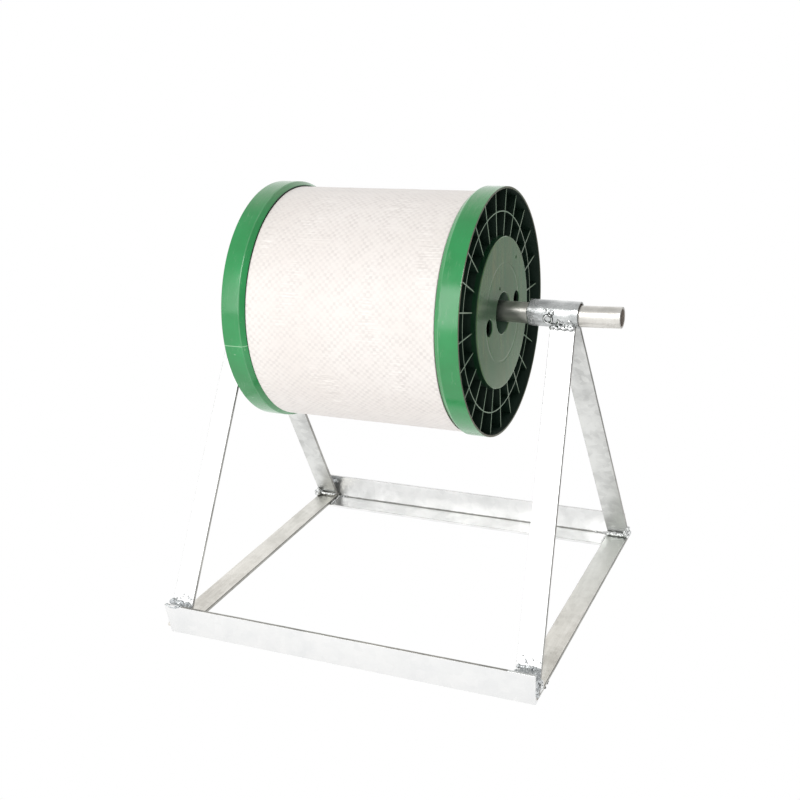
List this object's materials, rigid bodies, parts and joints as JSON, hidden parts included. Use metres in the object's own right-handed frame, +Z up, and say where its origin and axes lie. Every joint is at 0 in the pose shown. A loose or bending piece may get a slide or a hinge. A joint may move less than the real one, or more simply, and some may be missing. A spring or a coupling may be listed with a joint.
{
  "type": "cover reel",
  "caption": "Flanged plastic spool wound with woven sheet, free to turn on a loose pipe axle that lies in the two sleeves of a welded A-frame stand.",
  "frame": {"origin": "bottom centre of the whole object, on the floor", "axes": "+X along the axle towards its longer free end, +Y from the front rail to the back rail, +Z up"},
  "size_m": [0.7082, 0.586, 0.7152],
  "materials": {
    "galvanised_steel": "hot-dip galvanised, bright, softly mottled",
    "weld_metal": "rough galvanised weld bead",
    "green_plastic": "moulded, satin, scuffed",
    "wound_sheet": "edges of tightly wound sheet",
    "woven_wrap": "flat woven tape, faint sheen"
  },
  "bodies": {
    "stand": {"front_rail": "galvanised_steel", "back_rail": "galvanised_steel", "left_rail": "galvanised_steel", "right_rail": "galvanised_steel", "front_left_leg": "galvanised_steel", "front_right_leg": "galvanised_steel", "back_left_leg": "galvanised_steel", "back_right_leg": "galvanised_steel", "left_sleeve": "galvanised_steel", "right_sleeve": "galvanised_steel", "front_left_toe_weld": "weld_metal", "front_left_heel_weld": "weld_metal", "front_left_sleeve_weld": "weld_metal", "front_right_toe_weld": "weld_metal", "front_right_heel_weld": "weld_metal", "front_right_sleeve_weld": "weld_metal", "back_left_toe_weld": "weld_metal", "back_left_heel_weld": "weld_metal", "back_left_sleeve_weld": "weld_metal", "back_right_toe_weld": "weld_metal", "back_right_heel_weld": "weld_metal", "back_right_sleeve_weld": "weld_metal"},
    "axle": {"axle": "galvanised_steel"},
    "reel": {"left_flange": "green_plastic", "right_flange": "green_plastic", "barrel": "green_plastic", "hub_tube": "green_plastic", "wound_pack": "wound_sheet", "wrap_sheet": "woven_wrap"}
  },
  "joints": [
    {"name": "reel_spin", "type": "hinge", "parent": "stand", "child": "reel", "pos_m": [-0.0399, 0, 0.5152], "axis": [1, 0, 0], "continuous": true},
    {"name": "axle_slide", "type": "slide", "parent": "stand", "child": "axle", "axis": [1, 0, 0], "range_m": [-0.06, 0.54]}
  ]
}
